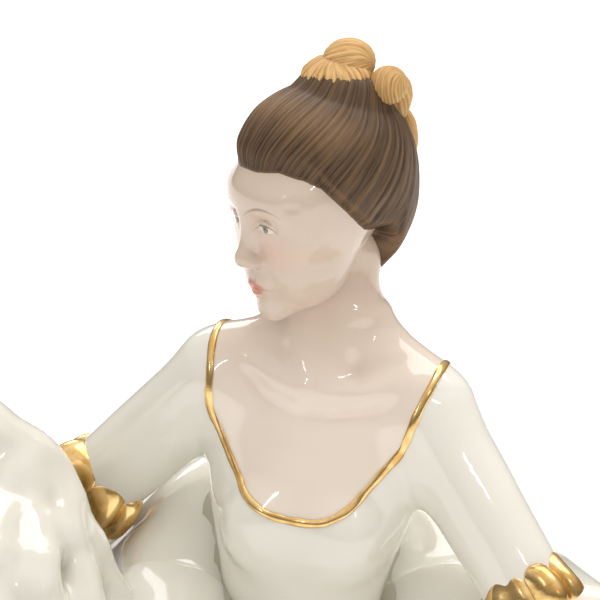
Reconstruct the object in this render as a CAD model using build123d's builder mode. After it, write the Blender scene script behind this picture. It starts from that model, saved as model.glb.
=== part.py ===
"""Slip-cast porcelain lady in a deep curtsy, built from the castings that are luted together before firing.

Millimetres, +Z up. The origin is on the ground under the middle of the hem, and the lady faces -Y.
"Right" and "left" in the names are the lady's own, so her right arm is on the -X side.
"""

import os
from math import cos, pi, sin

from build123d import *

# Driving dimensions
HEM_HALF_WIDTH = 96.0
HEM_HALF_DEPTH = 76.0
WALL = 3.0
WAIST = Vector(-3.6, 0, 77)
TORSO_YAW = -18
TORSO_LEAN = 6
HEAD_CENTRE = Vector(-1.3, -0.6, 138.3)
HEAD_YAW = -58
HEAD_NOD = 8
FOLDS = 20
BRAID_WIDTH = 1.3
BRAID_RISE = 0.5
PETTICOAT_HALF_WIDTH = 85.0
PETTICOAT_HALF_DEPTH = 66.5
PETTICOAT_HEIGHT = 16.0
PETTICOAT_FOLDS = 32
PLATE_HALF_WIDTH = 77.0
PLATE_HALF_DEPTH = 59.0
PLATE_LIFT = 2.0
VENT_RADIUS = 3.0
HEM_GAP = 1.5


def turned(origin, *turns):
    """A plane at origin, turned by each (x, y, z) set of degrees in its own axes, one after the other."""
    place = Location(origin)
    for turn in turns:
        place = place * Location((0, 0, 0), turn)
    return Plane(place)


TORSO = turned(WAIST, (0, 0, TORSO_YAW), (0, TORSO_LEAN, 0))
HEAD = turned(HEAD_CENTRE, (0, 0, HEAD_YAW), (HEAD_NOD, 0, 0))


def ring_stack(frame, rings):
    """A closed solid lofted through ellipses. Each ring is (height, half width, half depth, forward of the axis)."""
    with BuildPart() as body:
        for height, half_width, half_depth, forward in rings:
            with BuildSketch(frame.offset(height)):
                with Locations((0, -forward)):
                    Ellipse(half_width, half_depth)
        loft()
    return body.part


def limb(points, radii):
    """A closed solid lofted through circles set square to the line of their centres."""
    last = len(points) - 1
    with BuildPart() as body:
        for i, (point, radius) in enumerate(zip(points, radii)):
            along = Vector(points[min(i + 1, last)]) - Vector(points[max(i - 1, 0)])
            with BuildSketch(Plane(origin=point, z_dir=along)):
                Circle(radius)
        loft()
    return body.part


def ellipsoid(frame, centre, radii, turn=(0, 0, 0)):
    """A ball stretched to three radii, set at centre in a frame."""
    ball = scale(Sphere(1, mode=Mode.PRIVATE), by=radii, mode=Mode.PRIVATE)
    return frame.location * Location(centre, turn) * ball


def wavy_outline(half_width, half_depth, depth, waves):
    """Points of a closed oval with waves, crests on both axes. Its crests reach the half width and half depth."""
    points = []
    steps = 4 * waves
    for i in range(steps):
        angle = 2 * pi * i / steps
        reach = (1 + depth * cos(waves * angle)) / (1 + depth)
        points.append((half_width * reach * cos(angle), half_depth * reach * sin(angle)))
    return points


def wavy_stack(rings, waves, inset=0.0):
    """A solid lofted through wavy ovals. Each ring is (height, half width, half depth, wave depth)."""
    with BuildPart() as body:
        for height, half_width, half_depth, depth in rings:
            outline = wavy_outline(half_width - inset, half_depth - inset, depth, waves)
            with BuildSketch(Plane.XY.offset(height)):
                with BuildLine():
                    Spline(*outline, periodic=True)
                make_face()
        loft()
    return body.part


# Torso: the outer form that the bodice and the bare shoulders are both cut from
torso_rings = [
    (-6, 9.8, 8.2, 0.0),
    (0, 8.4, 6.9, 0.0),
    (8, 9.0, 7.6, 0.4),
    (15, 10.6, 9.4, 1.6),
    (20, 12.4, 10.4, 1.8),
    (26, 13.6, 8.9, 0.9),
    (32, 15.0, 7.3, 0.0),
    (37, 16.2, 6.2, -0.5),
    (40.5, 15.2, 5.2, -0.8),
    (43.2, 11.0, 4.6, -0.9),
    (45.2, 6.4, 4.0, -0.9),
]
torso_core_rings = [(h, a - WALL, b - WALL, f) for h, a, b, f in torso_rings if h <= 32]
torso_form = ring_stack(TORSO, torso_rings)
torso_core = ring_stack(TORSO, torso_core_rings)
braid_form = ring_stack(TORSO, [(h, a + BRAID_RISE, b + BRAID_RISE, f) for h, a, b, f in torso_rings])

neck_form = limb([(-0.6, 1.0, 111), (-0.4, 1.0, 119), (0.2, 1.0, 126), (1.2, 0.8, 133)], [6.4, 5.5, 5.2, 5.6])

head_form = ring_stack(
    HEAD,
    [
        (-13.8, 2.2, 1.8, 7.6),
        (-12.6, 4.2, 4.2, 6.2),
        (-9.5, 6.3, 7.6, 3.4),
        (-5, 8.0, 9.8, 1.6),
        (0, 9.0, 11.0, 0.4),
        (4, 9.5, 11.6, -0.3),
        (8, 9.1, 11.1, -0.6),
        (11.5, 7.1, 8.7, -0.8),
        (13.4, 4.0, 5.2, -0.9),
        (14.0, 1.4, 1.8, -0.9),
    ],
)
nose_form = ring_stack(
    HEAD,
    [(1.5, 0.9, 1.2, 10.6), (-3, 1.3, 1.6, 11.4), (-5.6, 1.8, 1.8, 11.9), (-7.0, 1.2, 1.0, 10.6)],
)

# Arms: joints of the two arms, from the shoulder out to the knuckles
SHOULDER_HALF_SPAN = 15.6
SHOULDER_HEIGHT = 35.3
RIGHT_SHOULDER = TORSO.from_local_coords((-SHOULDER_HALF_SPAN, 1, SHOULDER_HEIGHT))
RIGHT_ELBOW = (-30.8, 12.0, 96.6)
RIGHT_WRIST = (-46.0, 10.0, 102.0)
LEFT_SHOULDER = TORSO.from_local_coords((SHOULDER_HALF_SPAN, 1, SHOULDER_HEIGHT))
LEFT_ELBOW = (27.2, -12.0, 87.5)
LEFT_WRIST = (46.0, -17.5, 86.0)
SHOULDER_RADIUS = 6.2
SLEEVE_END_RADIUS = 5.4
FOREARM_RADIUS = 3.9
WRIST_RADIUS = 2.7


def between(start, end, share):
    """The point a share of the way from start to end."""
    return tuple(Vector(start) + (Vector(end) - Vector(start)) * share)


def sleeve_form(shoulder, elbow):
    """A tapered upper sleeve with a round cap over the shoulder."""
    tube = limb(
        [shoulder, between(shoulder, elbow, 0.5), elbow],
        [SHOULDER_RADIUS, 0.5 * (SHOULDER_RADIUS + SLEEVE_END_RADIUS), SLEEVE_END_RADIUS],
    )
    with BuildPart() as sleeve:
        add(tube)
        with Locations(shoulder):
            Sphere(SHOULDER_RADIUS)
    return sleeve.part


right_sleeve_form = sleeve_form(RIGHT_SHOULDER, RIGHT_ELBOW)
left_sleeve_form = sleeve_form(LEFT_SHOULDER, LEFT_ELBOW)
right_forearm_form = limb(
    [RIGHT_ELBOW, between(RIGHT_ELBOW, RIGHT_WRIST, 0.5), RIGHT_WRIST],
    [FOREARM_RADIUS, 3.6, WRIST_RADIUS],
)
left_forearm_form = limb(
    [LEFT_ELBOW, between(LEFT_ELBOW, LEFT_WRIST, 0.5), LEFT_WRIST],
    [FOREARM_RADIUS, 3.6, WRIST_RADIUS],
)

# Skirt: rings from the hem up to the waist
skirt_rings = [
    (HEM_GAP, HEM_HALF_WIDTH, HEM_HALF_DEPTH, 0.05),
    (18, 87, 69, 0.05),
    (36, 72, 57, 0.04),
    (54, 56, 45, 0.03),
    (68, 41, 33, 0.02),
    (78, 24, 20, 0.01),
]
skirt_form = wavy_stack(skirt_rings, FOLDS)
core_rings = [(h, a, b, d) for h, a, b, d in skirt_rings if h < 70]
skirt_core = wavy_stack(core_rings, FOLDS, inset=WALL)

# Loose cloth: the puff behind the waist, and the falls of cloth that the two hands hold up
BILLOW_CENTRE = (0, 25, 70)
BILLOW_RADII = (38, 30, 27)
SWAG_LINE = [(-62, -16, 26), (-58, -14, 52), (-52, -10, 76), (-47, -7, 96), (-46.5, -5, 108), (-47.5, -4, 113.5)]
SWAG_RADII = [19, 18, 15, 11, 6.5, 2.5]
SIDE_SWAG_LINE = [(42, -15, 79), (50, -17, 72), (62, -19, 56), (73, -21, 34), (80, -22, 16)]
SIDE_SWAG_RADII = [4.5, 9, 12, 12, 9]
billow_form = ellipsoid(Plane.XY, BILLOW_CENTRE, BILLOW_RADII)
swag_form = limb(SWAG_LINE, SWAG_RADII)
side_swag_form = limb(SIDE_SWAG_LINE, SIDE_SWAG_RADII)

with BuildPart() as foot_plate:
    with BuildSketch(Plane.XY.offset(PLATE_LIFT)):
        Ellipse(PLATE_HALF_WIDTH, PLATE_HALF_DEPTH)
    extrude(amount=WALL)
    with Locations(Plane.XY.offset(PLATE_LIFT + WALL)):
        Hole(VENT_RADIUS)

PETTICOAT_WAVE = 0.03
petticoat_outline = wavy_outline(PETTICOAT_HALF_WIDTH, PETTICOAT_HALF_DEPTH, PETTICOAT_WAVE, PETTICOAT_FOLDS)
with BuildPart() as petticoat_form:
    with BuildSketch():
        with BuildLine():
            Spline(*petticoat_outline, periodic=True)
        make_face()
    extrude(amount=PETTICOAT_HEIGHT)

with BuildPart() as petticoat_frill:
    add(petticoat_form.part)
    with BuildSketch():
        Ellipse(PLATE_HALF_WIDTH, PLATE_HALF_DEPTH)
    extrude(amount=PETTICOAT_HEIGHT, mode=Mode.SUBTRACT)

# The hem is drawn up in front on her right, where the petticoat shows
HEM_LIFT_CENTRE = (-58, -54, 0)
HEM_LIFT_RADII = (21, 21, 13)
hem_lift = ellipsoid(Plane.XY, HEM_LIFT_CENTRE, HEM_LIFT_RADII)
with BuildPart() as skirt_shell:
    add(skirt_form)
    add(skirt_core, mode=Mode.SUBTRACT)
    add(hem_lift, mode=Mode.SUBTRACT)
    add(petticoat_form.part, mode=Mode.SUBTRACT)
    add(torso_form, mode=Mode.SUBTRACT)

with BuildPart() as back_billow:
    add(billow_form)
    add(skirt_form, mode=Mode.SUBTRACT)
    add(torso_form, mode=Mode.SUBTRACT)

# Neckline: a deep scoop in front and a shallow one behind, in the torso's own upright plane
NECKLINE_HALF_WIDTH = 14.0
NECKLINE_TOP = 60
FRONT_SCOOP = [(NECKLINE_HALF_WIDTH, 40), (12.0, 31), (7.6, 24.4), (0, 21.6)]
BACK_SCOOP = [(NECKLINE_HALF_WIDTH, 40), (11.4, 35), (6.5, 32), (0, 31)]


def scoop_form(scoop, facing, widen=0.0):
    """Everything inside a neckline on one side of the torso, out to past the skin."""
    upright = Plane(origin=TORSO.origin, x_dir=TORSO.x_dir, z_dir=TORSO.y_dir * facing)
    side = upright.x_dir.dot(TORSO.x_dir)
    right = [((x + widen) * side if x else 0, z - (0 if x == NECKLINE_HALF_WIDTH else widen)) for x, z in scoop]
    left = [(-x, z) for x, z in reversed(right[:-1])]
    start, end = right[0], left[-1]
    with BuildPart() as inside:
        with BuildSketch(upright):
            with BuildLine():
                Spline(*right, *left)
                Polyline(end, (end[0], NECKLINE_TOP), (start[0], NECKLINE_TOP), start)
            make_face()
        extrude(amount=30)
    return inside.part


front_scoop = scoop_form(FRONT_SCOOP, -1)
back_scoop = scoop_form(BACK_SCOOP, 1)
front_scoop_wide = scoop_form(FRONT_SCOOP, -1, BRAID_WIDTH)
back_scoop_wide = scoop_form(BACK_SCOOP, 1, BRAID_WIDTH)

with BuildPart() as sleeves_form:
    add(right_sleeve_form)
    add(left_sleeve_form)

with BuildPart() as bodice:
    add(torso_form)
    add(torso_core, mode=Mode.SUBTRACT)
    add(front_scoop, mode=Mode.SUBTRACT)
    add(back_scoop, mode=Mode.SUBTRACT)
    add(neck_form, mode=Mode.SUBTRACT)
    add(sleeves_form.part, mode=Mode.SUBTRACT)

with BuildPart() as scoops_form:
    add(front_scoop)
    add(back_scoop)

with BuildPart() as shoulder_yoke:
    add(torso_form)
    add(scoops_form.part, mode=Mode.INTERSECT)
    add(torso_core, mode=Mode.SUBTRACT)
    add(neck_form, mode=Mode.SUBTRACT)
    add(sleeves_form.part, mode=Mode.SUBTRACT)

with BuildPart() as braid_path:
    add(front_scoop_wide)
    add(back_scoop_wide)
    add(scoops_form.part, mode=Mode.SUBTRACT)

with BuildPart() as neckline_braid:
    add(braid_form)
    add(torso_form, mode=Mode.SUBTRACT)
    add(braid_path.part, mode=Mode.INTERSECT)

with BuildPart() as neck:
    add(neck_form)
    add(head_form, mode=Mode.SUBTRACT)

with BuildPart() as head:
    add(head_form)
    add(nose_form)


def sleeve(form):
    """A sleeve casting, cut to sit on the bodice, the skin and the braid."""
    with BuildPart() as piece:
        add(form)
        add(torso_form, mode=Mode.SUBTRACT)
        add(neckline_braid.part, mode=Mode.SUBTRACT)
    return piece.part


right_sleeve = sleeve(right_sleeve_form)
left_sleeve = sleeve(left_sleeve_form)


CUFF_LOBES = 7
CUFF_RINGS = [(-6.4, 6.5, 0.05), (-2.8, 7.3, 0.07), (1.0, 7.9, 0.1)]  # height, radius, wave depth


def cuff_form(shoulder, elbow):
    """A flared, lobed ruffle round the end of a sleeve."""
    along = Vector(elbow) - Vector(shoulder)
    frame = Plane(origin=elbow, z_dir=along)
    with BuildPart() as ruffle:
        for height, radius, depth in CUFF_RINGS:
            with BuildSketch(frame.offset(height)):
                with BuildLine():
                    Spline(*wavy_outline(radius, radius, depth, CUFF_LOBES), periodic=True)
                make_face()
        loft()
    return ruffle.part


def cuff(ruffle, sleeve_solid, forearm_solid):
    """A ruffle with the sleeve and the forearm taken out of its middle."""
    with BuildPart() as piece:
        add(ruffle)
        add(sleeve_solid, mode=Mode.SUBTRACT)
        add(forearm_solid, mode=Mode.SUBTRACT)
    return piece.part


right_cuff_form = cuff_form(RIGHT_SHOULDER, RIGHT_ELBOW)
left_cuff_form = cuff_form(LEFT_SHOULDER, LEFT_ELBOW)
right_cuff = cuff(right_cuff_form, right_sleeve_form, right_forearm_form)
left_cuff = cuff(left_cuff_form, left_sleeve_form, left_forearm_form)


def forearm(form, sleeve_solid, hand_solid):
    """A bare forearm from the sleeve's end to the wrist."""
    with BuildPart() as piece:
        add(form)
        add(sleeve_solid, mode=Mode.SUBTRACT)
        add(hand_solid, mode=Mode.SUBTRACT)
        add(swag_form, mode=Mode.SUBTRACT)
    return piece.part


# Hands: a palm and five fingers each
FINGER_RADIUS = 1.05
FINGERS = [(-2.4, 4.6), (-0.85, 5.6), (0.8, 5.4), (2.3, 4.4)]  # place across the palm, length
KNUCKLES = 6.4
PALM_CENTRE = (3.6, 0, 0)
PALM_RADII = (3.3, 5.0, 1.9)
THUMB_LINE = [(2.0, -2.6, -0.4), (4.6, -4.4, -1.0), (6.8, -5.0, -1.8)]
THUMB_RADII = [1.3, 1.1, 0.8]


def hand_form(frame, curl):
    """A small cupped hand in a frame whose +X runs out along the fingers and whose +Z is the back of the hand."""
    parts = [ellipsoid(frame, PALM_CENTRE, PALM_RADII, (0, 0, 90))]
    for across, length in FINGERS:
        middle = (KNUCKLES + 0.55 * length, across * 1.1, -0.3 * curl)
        joints = [(KNUCKLES, across, 0.1), middle, (KNUCKLES + length, across * 1.15, -curl)]
        local = [tuple(frame.from_local_coords(Vector(*p))) for p in joints]
        parts.append(limb(local, [FINGER_RADIUS, FINGER_RADIUS * 0.95, FINGER_RADIUS * 0.7]))
    thumb = [tuple(frame.from_local_coords(Vector(*p))) for p in THUMB_LINE]
    parts.append(limb(thumb, THUMB_RADII))
    with BuildPart() as palm_and_fingers:
        for part in parts:
            add(part)
    return palm_and_fingers.part


right_hand_frame = turned((-45.6, 9.6, 102.6), (0, 0, 235), (0, -38, 0), (20, 0, 0))
left_hand_frame = turned((45.0, -17.2, 86.2), (0, 0, -14), (0, 16, 0))
right_hand_form = hand_form(right_hand_frame, 3.4)
left_hand_form = hand_form(left_hand_frame, 2.2)


right_forearm = forearm(right_forearm_form, right_sleeve_form, right_hand_form)
left_forearm = forearm(left_forearm_form, left_sleeve_form, left_hand_form)


def swag(form, hand_solid):
    """A fall of cloth, cut to lie on the skirt and round the hand that holds it."""
    with BuildPart() as piece:
        add(form)
        add(skirt_form, mode=Mode.SUBTRACT)
        add(billow_form, mode=Mode.SUBTRACT)
        add(petticoat_form.part, mode=Mode.SUBTRACT)
        add(hand_solid, mode=Mode.SUBTRACT)
    return piece.part


raised_swag = swag(swag_form, right_hand_form)
side_swag = swag(side_swag_form, left_hand_form)

# Hair: a swept-up cap with a topknot of separately rolled curls
hair_form = ellipsoid(HEAD, (0, -0.1, 3.8), (11.2, 12.7, 12.4))
HAIRLINE = Plane(origin=HEAD.from_local_coords(Vector(0, -1.6, -1.4)), z_dir=HEAD.y_dir + HEAD.z_dir)
with BuildPart() as hair_cap:
    add(hair_form)
    split(bisect_by=HAIRLINE, keep=Keep.TOP)
    add(head_form, mode=Mode.SUBTRACT)
    add(neck_form, mode=Mode.SUBTRACT)

curl_shapes = {
    "front_roll": ((0, 3.4, 14.6), (6.6, 4.2, 3.0), (8, 0, 0)),
    "crown_curl": ((0.1, 6.6, 17.2), (4.6, 4.4, 3.9), (0, 10, 15)),
    "left_curl": ((4.6, 9.4, 13.6), (3.3, 3.5, 3.1), (0, 25, 35)),
    "right_curl": ((-4.4, 9.5, 13.4), (3.3, 3.5, 3.1), (0, -25, 145)),
    "back_curl": ((0.4, 13.2, 9.4), (3.6, 2.6, 4.4), (5, 0, 10)),
    "nape_curl": ((0.2, 14.6, 3.4), (2.8, 1.9, 4.2), (-6, 0, 5)),
}
curls = {}
taken = [hair_form]
for name, (centre, radii, turn) in curl_shapes.items():
    form = ellipsoid(HEAD, centre, radii, turn)
    with BuildPart() as curl:
        add(form)
        for solid in taken:
            add(solid, mode=Mode.SUBTRACT)
    curls[name] = curl.part
    taken.append(form)

pieces = {
    "foot_plate": foot_plate.part,
    "petticoat_frill": petticoat_frill.part,
    "skirt_shell": skirt_shell.part,
    "back_billow": back_billow.part,
    "raised_swag": raised_swag,
    "side_swag": side_swag,
    "bodice": bodice.part,
    "shoulder_yoke": shoulder_yoke.part,
    "neckline_braid": neckline_braid.part,
    "neck": neck.part,
    "head": head.part,
    "right_sleeve": right_sleeve,
    "left_sleeve": left_sleeve,
    "right_cuff": right_cuff,
    "left_cuff": left_cuff,
    "right_forearm": right_forearm,
    "left_forearm": left_forearm,
    "right_hand": right_hand_form,
    "left_hand": left_hand_form,
    "hair_cap": hair_cap.part,
    **curls,
}

os.makedirs("parts", exist_ok=True)
for name, solid in pieces.items():
    solid.label = name
    export_step(solid, f"parts/{name}.step")
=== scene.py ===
import bpy
import math
import numpy as np
from mathutils import Euler, Matrix, Vector
from mathutils.bvhtree import BVHTree


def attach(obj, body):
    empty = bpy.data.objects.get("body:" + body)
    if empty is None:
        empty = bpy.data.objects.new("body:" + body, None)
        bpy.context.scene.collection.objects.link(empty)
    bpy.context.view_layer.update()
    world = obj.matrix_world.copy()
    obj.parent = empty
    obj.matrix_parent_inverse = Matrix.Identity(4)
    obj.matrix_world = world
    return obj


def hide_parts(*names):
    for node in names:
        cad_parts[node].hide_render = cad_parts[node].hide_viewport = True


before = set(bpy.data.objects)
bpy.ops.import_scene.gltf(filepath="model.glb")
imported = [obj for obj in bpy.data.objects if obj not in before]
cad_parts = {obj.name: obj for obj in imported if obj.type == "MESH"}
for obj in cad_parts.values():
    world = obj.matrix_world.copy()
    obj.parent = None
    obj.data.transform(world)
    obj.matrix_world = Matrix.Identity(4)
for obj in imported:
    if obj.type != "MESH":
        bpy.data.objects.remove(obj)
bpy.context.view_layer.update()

# Everything is sculpted in millimetres and brought to metres when a piece is finished
metre = 0.001


def placed(origin, turns):  # a frame at origin, turned about its own axes
    return Matrix.Translation(origin) @ Euler([math.radians(a) for a in turns]).to_matrix().to_4x4()


waist = (-3.6, 0, 77)
torsoPlace = placed(waist, (0, 0, -18)) @ placed((0, 0, 0), (0, 6, 0))
headPlace = placed((-1.3, -0.6, 138.3), (8, 0, -58))


def moved(matrix, points):
    m = np.array(matrix)
    return np.asarray(points, float) @ m[:3, :3].T + m[:3, 3]


def onTorso(*point):
    return tuple(torsoPlace @ Vector(point))


def leaning(axis):  # turns +Z onto axis
    return Vector((0, 0, 1)).rotation_difference(axis).to_matrix().to_4x4()


# Sculpting helpers
def deselectAll():
    for obj in list(bpy.context.selected_objects):
        obj.select_set(False)


def pick(obj):
    deselectAll()
    obj.select_set(True)
    bpy.context.view_layer.objects.active = obj


def readPoints(obj):
    co = np.zeros(len(obj.data.vertices) * 3)
    obj.data.vertices.foreach_get("co", co)
    return co.reshape(-1, 3)


def writePoints(obj, points):
    obj.data.vertices.foreach_set("co", np.ascontiguousarray(points, float).ravel())
    obj.data.update()


def applyAll(obj):
    pick(obj)
    for modifier in list(obj.modifiers):
        bpy.ops.object.modifier_apply(modifier=modifier.name)


def ball(centre, radii, turn=(0, 0, 0), blend=1.0, carve=False):
    return {"kind": "ball", "place": placed(centre, turn), "radii": radii, "blend": blend, "carve": carve}


def limb(points, radii, blend=1.0):
    return {"kind": "limb", "points": points, "radii": radii, "blend": blend, "carve": False}


def mirrored(point):
    return (-point[0], *point[1:])


def balls(centre, radii, turn=(0, 0, 0), **rest):  # a ball and its mirror image
    turned = (turn[0], -turn[1], -turn[2])
    return [ball(centre, radii, turn, **rest), ball(mirrored(centre), radii, turned, **rest)]


def limbs(points, radii, blend):  # a limb and its mirror image
    return [limb(points, radii, blend), limb([mirrored(p) for p in points], radii, blend)]


def setIn(place, blobs):  # blobs drawn in a frame of their own, brought into the common one
    out = []
    for blob in blobs:
        blob = dict(blob)
        if blob["kind"] == "limb":
            blob["points"] = [tuple(place @ Vector(p)) for p in blob["points"]]
        else:
            blob["place"] = place @ blob["place"]
        out.append(blob)
    return out


def smoothLine(xs, ys, x, level=False):  # a smooth curve through a table, level at both ends if asked
    slopes = np.gradient(ys, xs)
    if level:
        slopes[0] = slopes[-1] = 0
    i = np.clip(np.searchsorted(xs, x) - 1, 0, len(xs) - 2)
    width = xs[i + 1] - xs[i]
    t = np.clip((x - xs[i]) / width, 0, 1)
    return (
        ys[i] * (1 + 2 * t) * (1 - t) ** 2 + ys[i + 1] * t * t * (3 - 2 * t)
        + width * (slopes[i] * t * (1 - t) ** 2 - slopes[i + 1] * t * t * (1 - t))
    )


def ringAt(rings, z):  # half width, half depth and forward shift at each height
    table = np.array(rings)
    return (smoothLine(table[:, 0], table[:, i], z, level=True) for i in (1, 2, 3))


def blobDistance(blob, p):  # about how far each point lies outside the blob
    if blob["kind"] == "ball":
        q = moved(blob["place"].inverted(), p)
        r = np.array(blob["radii"])
        near = np.linalg.norm(q / r, axis=1)
        return near * (near - 1) / np.maximum(np.linalg.norm(q / r**2, axis=1), 1e-6)
    if blob["kind"] == "rings":
        q = moved(blob["place"].inverted(), p)
        half, depth, forward = ringAt(blob["rings"], q[:, 2])
        ring = np.sqrt((q[:, 0] / half) ** 2 + ((q[:, 1] + forward) / depth) ** 2) - 1
        ring = ring * np.minimum(half, depth)
        ends = np.maximum(q[:, 2] - blob["rings"][-1][0], blob["rings"][0][0] - q[:, 2])
        return np.maximum(ring, ends)
    best = None
    points = [np.array(a, float) for a in blob["points"]]
    for a, b, ra, rb in zip(points, points[1:], blob["radii"], blob["radii"][1:]):
        along = b - a
        share = np.clip((p - a) @ along / (along @ along), 0, 1)
        d = np.linalg.norm(p - a - share[:, None] * along, axis=1) - (ra + (rb - ra) * share)
        best = d if best is None else np.minimum(best, d)
    return best


def clayField(blobs, p):  # the distance to all blobs, joined or carved with soft edges
    total = None
    for blob in blobs:
        d = blobDistance(blob, p)
        if total is None:
            total = d
            continue
        k = blob["blend"]
        turnedOut = -1 if blob["carve"] else 1
        share = np.clip(0.5 + 0.5 * (turnedOut * total - d) / k, 0, 1)
        total = turnedOut * (turnedOut * total + (d - turnedOut * total) * share - k * share * (1 - share))
    return total


def drawOnto(points, blobs, passes, extra=None):  # moves points onto the skin of the clay
    probe, reach = 0.05, 0.8  # the step that slopes are read over, and the longest move in a pass
    for _ in range(passes):
        value = clayField(blobs, points)
        if extra is not None:
            value = value - extra(points)
        slope = np.stack([(clayField(blobs, points + step) - clayField(blobs, points - step)) / (2 * probe)
                          for step in np.eye(3) * probe], axis=1)
        size = np.maximum((slope**2).sum(1), 0.15)
        step = (value / size)[:, None] * slope
        length = np.maximum(np.linalg.norm(step, axis=1), 1e-9)
        points = points - step * np.minimum(1, reach / length)[:, None]
    return points


def evenOut(obj, passes, share=0.5):  # relaxes the skin towards its neighbours
    edges = np.zeros(len(obj.data.edges) * 2, np.int64)
    obj.data.edges.foreach_get("vertices", edges)
    a, b = edges.reshape(-1, 2).T
    points = readPoints(obj)
    count = np.bincount(a, minlength=len(points)) + np.bincount(b, minlength=len(points))
    for _ in range(passes):
        total = np.zeros_like(points)
        for axis in range(3):
            total[:, axis] = np.bincount(a, points[b, axis], len(points))
            total[:, axis] += np.bincount(b, points[a, axis], len(points))
        points = points + share * (total / count[:, None] - points)
    return points


def packedBalls(blob):  # a place for each ball that fills the blob
    if blob["carve"]:
        return
    if blob["kind"] == "ball":
        yield blob["place"] @ Matrix.Diagonal((*blob["radii"], 1))
    elif blob["kind"] == "limb":
        for a, b, ra, rb in zip(blob["points"], blob["points"][1:], blob["radii"], blob["radii"][1:]):
            count = max(2, int((Vector(b) - Vector(a)).length / max(0.35 * min(ra, rb), 0.15)) + 1)
            for i in range(count):
                t = i / (count - 1)
                radius = ra + (rb - ra) * t
                yield Matrix.Translation(Vector(a).lerp(Vector(b), t)) @ Matrix.Scale(radius, 4)
    else:
        low, high = blob["rings"][0][0], blob["rings"][-1][0]
        for i in range(60):
            z = low + (high - low) * (0.02 + 0.96 * i / 59)
            half, depth, forward = (float(size[0]) for size in ringAt(blob["rings"], np.array([z])))
            middle = blob["place"] @ Matrix.Translation((0, -forward, z))
            yield middle @ Matrix.Diagonal((half, depth, 1.2, 1))


def sculpt(name, blobs, grain, extra=None):  # balls joined, reskinned evenly and smoothed together
    made = [spot for blob in blobs for spot in packedBalls(blob)]
    deselectAll()
    bpy.ops.mesh.primitive_ico_sphere_add(subdivisions=3, radius=1)
    seed = bpy.context.object
    ballPoints = readPoints(seed)
    faces = [list(f.vertices) for f in seed.data.polygons]
    bpy.data.objects.remove(seed)
    verts, polys = [], []
    for i, spot in enumerate(made):
        verts.append(moved(spot, ballPoints))
        polys += [[v + i * len(ballPoints) for v in f] for f in faces]
    mesh = bpy.data.meshes.new(name)
    mesh.from_pydata(np.vstack(verts).tolist(), [], polys)
    obj = bpy.data.objects.new(name, mesh)
    bpy.context.scene.collection.objects.link(obj)
    remesh = obj.modifiers.new("skin", "REMESH")
    remesh.mode = "VOXEL"
    remesh.voxel_size = grain
    applyAll(obj)
    writePoints(obj, drawOnto(readPoints(obj), blobs, 6, extra))
    writePoints(obj, evenOut(obj, 3))
    writePoints(obj, drawOnto(readPoints(obj), blobs, 2, extra))
    writePoints(obj, evenOut(obj, 1, 0.35))
    return obj


def sheet(name, across, along, form):  # a grid wrapped into a closed ring
    deselectAll()
    bpy.ops.mesh.primitive_grid_add(x_subdivisions=across, y_subdivisions=along, size=1)
    obj = bpy.context.object
    obj.name = obj.data.name = name
    flat = readPoints(obj)
    writePoints(obj, form(flat[:, 0] + 0.5, flat[:, 1] + 0.5))
    bpy.ops.object.mode_set(mode="EDIT")
    bpy.ops.mesh.select_all(action="SELECT")
    bpy.ops.mesh.remove_doubles(threshold=0.001)
    bpy.ops.mesh.normals_make_consistent(inside=False)
    bpy.ops.object.mode_set(mode="OBJECT")
    return obj


def wallPath(v, brim):  # whether v is on the outside, and how far it is from the top to the brim
    closing = v > 0.999  # the last row lies on the first one
    down = np.where(closing, 0, np.where(v < brim, v / brim, 1 - (v - brim) / (1 - brim)))
    return (v < brim) | closing, down


def globe(name, segments, rings, form):  # a ball whose every point is moved by its direction
    deselectAll()
    bpy.ops.mesh.primitive_uv_sphere_add(segments=segments, ring_count=rings, radius=1)
    obj = bpy.context.object
    obj.name = obj.data.name = name
    writePoints(obj, form(readPoints(obj)))
    return obj


def smoothStep(low, high, x):
    t = np.clip((x - low) / (high - low), 0, 1)
    return t * t * (3 - 2 * t)


def curveThrough(points, share):  # a smooth line through points, by share of its length
    points = np.array(points, float)
    spans = np.linalg.norm(np.diff(points, axis=0), axis=1)
    at = np.concatenate([[0], np.cumsum(spans)]) / spans.sum()
    return np.stack([smoothLine(at, column, np.asarray(share)) for column in points.T], axis=-1)


def rounded(line):  # each point of a closed line eased towards its neighbours
    return 0.25 * np.roll(line, 1, 0) + 0.5 * line + 0.25 * np.roll(line, -1, 0)


def ripples(p, size, seed):  # gentle unevenness of hand-finished clay, from -1 to 1
    rng = np.random.default_rng(seed)
    total = np.zeros(len(p))
    for _ in range(7):
        way = rng.normal(size=3)
        way *= 2 * math.pi / (size * rng.uniform(0.7, 1.5) * np.linalg.norm(way))
        total += np.sin(p @ way + rng.uniform(0, 6.28))
    return total / 4


def skinNormals(obj):
    normals = np.zeros(len(obj.data.vertices) * 3)
    obj.data.vertices.foreach_get("normal", normals)
    return normals.reshape(-1, 3)


def noteRecess(obj, passes, scale):  # how far each point lies below the smoothed skin, kept for the colour: glaze pooling and painted shade in the hollows
    hollow = ((evenOut(obj, passes, 0.7) - readPoints(obj)) * skinNormals(obj)).sum(1) / scale
    keepNumbers(obj, "recess", np.clip(hollow, -1, 1))


def keepNumbers(obj, name, values):
    layer = obj.data.attributes.new(name, "FLOAT", "POINT")
    layer.data.foreach_set("value", np.asarray(values, np.float32))


def keepFlow(obj, values):
    layer = obj.data.attributes.new("flow", "FLOAT_VECTOR", "POINT")
    layer.data.foreach_set("vector", np.asarray(values, np.float32).ravel())


def finishPiece(obj, material, slot, *nodes, sharp=35):  # in metres, painted and placed in the frame
    obj.data.transform(Matrix.Scale(metre, 4))
    obj.data.materials.clear()
    obj.data.materials.append(material)
    pick(obj)
    bpy.ops.object.shade_smooth_by_angle(angle=math.radians(sharp))
    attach(obj, "root")
    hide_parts(*nodes)


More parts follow.
